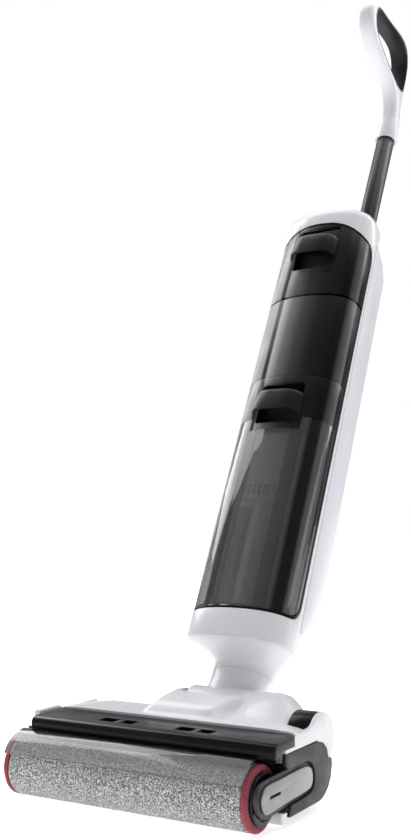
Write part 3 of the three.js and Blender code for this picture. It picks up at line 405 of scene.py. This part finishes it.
def pile_profile(x0, x1, corner, steps):
    """Points (along the axis, radius) round the cut of a soft ring, with rounded outer edges."""
    turns = [math.pi / 2 * i / CORNER_STEPS for i in range(CORNER_STEPS + 1)]
    rounding = [
        (corner * (1 - math.cos(turn)), ROLLER_RADIUS - corner * (1 - math.sin(turn)))
        for turn in turns]
    left = [(x0 + inset, radius) for inset, radius in rounding]
    right = [(x1 - inset, radius) for inset, radius in reversed(rounding)]
    length = x1 - x0 - 2 * corner
    flat = [(x0 + corner + length * i / steps, ROLLER_RADIUS) for i in range(1, steps)]
    return [(x0, PILE_INNER), *left, *flat, *right, (x1, PILE_INNER)]


def tuft_sink(spot, depth, grain):
    """How far the surface sinks between the tufts at a spot on the roller."""
    fine = 0.5 * noise.noise(spot * grain)
    broad = 0.3 * noise.noise(spot * grain * 0.35)
    return depth * min(max(0.5 + fine + broad, 0), 1.3)


def ring_mesh(name, x0, x1, corner, steps, around, depth, grain):
    """A closed ring of cut pile, its tufts sunk into the surface of the CAD ring."""
    middle = (x0 + x1) / 2
    mesh = bmesh.new()
    rows = []
    for x, radius in pile_profile(x0, x1, corner, steps):
        at_core = radius == PILE_INNER
        on_edge = ROLLER_RADIUS - radius > corner * EDGE_SHARE
        row = []
        for j in range(around):
            turn = math.tau * j / around
            spot = Vector((x, radius * math.cos(turn), radius * math.sin(turn)))
            sink = 0 if at_core else tuft_sink(spot, depth, grain)
            inset = math.copysign(sink * END_SINK, x - middle) if on_edge else 0
            r = radius - sink
            place = Vector((x - inset, r * math.cos(turn), r * math.sin(turn) + ROLLER_RADIUS))
            row.append(mesh.verts.new(HEAD @ place))
        rows.append(row)
    for i, row in enumerate(rows):
        following = rows[(i + 1) % len(rows)]
        for j in range(around):
            k = (j + 1) % around
            mesh.faces.new((row[j], following[j], following[k], row[k]))
    bmesh.ops.recalc_face_normals(mesh, faces=mesh.faces)
    data = bpy.data.meshes.new(name)
    mesh.to_mesh(data)
    mesh.free()
    smooth_faces(data)
    return data


def pile_ring(name, node_name, material, x0, x1, pile):
    """A ring of pile that rides on the roller in place of a CAD ring."""
    data = ring_mesh(name, x0, x1, **pile)
    data.materials.append(material)
    ring = bpy.data.objects.new(name, data)
    bpy.context.scene.collection.objects.link(ring)
    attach(ring, "roller")
    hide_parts(node_name)


left_seam = ROLLER_LEFT + BAND_WIDTH
right_seam = ROLLER_RIGHT - BAND_WIDTH
pile_ring(
    "pile_sleeve", "roller_pile", PLUSH, left_seam + SEAM, right_seam - SEAM, SLEEVE_PILE)
pile_ring(
    "pile_edge_left", "roller_band_left", CRIMSON, ROLLER_LEFT, left_seam, BAND_PILE)
pile_ring(
    "pile_edge_right", "roller_band_right", CRIMSON, right_seam, ROLLER_RIGHT,
    BAND_PILE)


# ---- camera, light and floor ----------------------------------------------------------------
def make_camera():
    data = bpy.data.cameras.new("camera")
    data.sensor_width = SENSOR
    data.lens = LENS
    data.shift_x = -0.0094
    data.shift_y = 0.001
    data.clip_start = 0.05
    data.clip_end = 20
    camera = bpy.data.objects.new("camera", data)
    camera.location = HEAD @ EYE
    camera.rotation_mode = "QUATERNION"
    camera.rotation_quaternion = LOOK.to_track_quat("-Z", "Y")
    bpy.context.scene.collection.objects.link(camera)
    bpy.context.scene.camera = camera


def area_light(name, place, target, size, power):
    """A rectangular lamp, with its place, aim and size in metres and its power in watts."""
    data = bpy.data.lights.new(name, "AREA")
    data.shape = "RECTANGLE"
    data.size, data.size_y = size
    data.energy = power
    lamp = bpy.data.objects.new(name, data)
    lamp.location = place
    lamp.rotation_mode = "QUATERNION"
    lamp.rotation_quaternion = (Vector(target) - Vector(place)).to_track_quat("-Z", "Y")
    bpy.context.scene.collection.objects.link(lamp)


def make_stage():
    """A round pale floor that glows a little, so that it fades into the background."""
    t = Tree("pale_floor")
    t.paint(t.blend(t.spread(t.noise(3, 2), 0, 1), (0.90, 0.90, 0.90), (0.93, 0.93, 0.93)))
    t.set(Roughness=0.6, Specular_IOR_Level=0.2, Emission_Color=(1, 1, 1, 1), Emission_Strength=0.7)
    turns = [math.tau * i / FLOOR_SIDES for i in range(FLOOR_SIDES)]
    rim = [(FLOOR_RADIUS * math.cos(turn), FLOOR_RADIUS * math.sin(turn), -FLOOR_DROP) for turn in turns]
    mesh = bpy.data.meshes.new("floor")
    mesh.from_pydata(rim, [], [range(FLOOR_SIDES)])
    mesh.materials.append(t.material)
    floor = bpy.data.objects.new("floor", mesh)
    bpy.context.scene.collection.objects.link(floor)


def make_world():
    """White to look at, and a dimmer grey as a source of light and reflections."""
    world = bpy.data.worlds.new("studio")
    world.use_nodes = True
    tree = world.node_tree
    seen = tree.nodes["Background"]
    seen.inputs["Color"].default_value = (1, 1, 1, 1)
    seen.inputs["Strength"].default_value = 1.0
    fill = tree.nodes.new("ShaderNodeBackground")
    fill.inputs["Color"].default_value = (0.97, 0.97, 1.0, 1)
    fill.inputs["Strength"].default_value = 0.40
    path = tree.nodes.new("ShaderNodeLightPath")
    mix = tree.nodes.new("ShaderNodeMixShader")
    tree.links.new(path.outputs["Is Camera Ray"], mix.inputs[0])
    tree.links.new(fill.outputs[0], mix.inputs[1])
    tree.links.new(seen.outputs[0], mix.inputs[2])
    tree.links.new(mix.outputs[0], tree.nodes["World Output"].inputs["Surface"])
    bpy.context.scene.world = world


def make_lights():
    area_light("left_softbox", (-1.35, 0.30, 1.35), (0, -0.05, 0.5), (1.1, 1.5), 20)
    area_light("rear_softbox", (0.9, 1.3, 1.5), (0, 0, 0.45), (0.5, 1.2), 8)
    area_light("top_softbox", (0.1, 0.75, 2.3), (0, 0, 0.1), (2.4, 1.6), 24)
    area_light("front_fill", (-0.9, -1.9, 1.0), (0, -0.2, 0.3), (1.6, 1.2), 2)


make_camera()
make_stage()
make_world()
make_lights()

bpy.context.scene.view_settings.view_transform = "Standard"
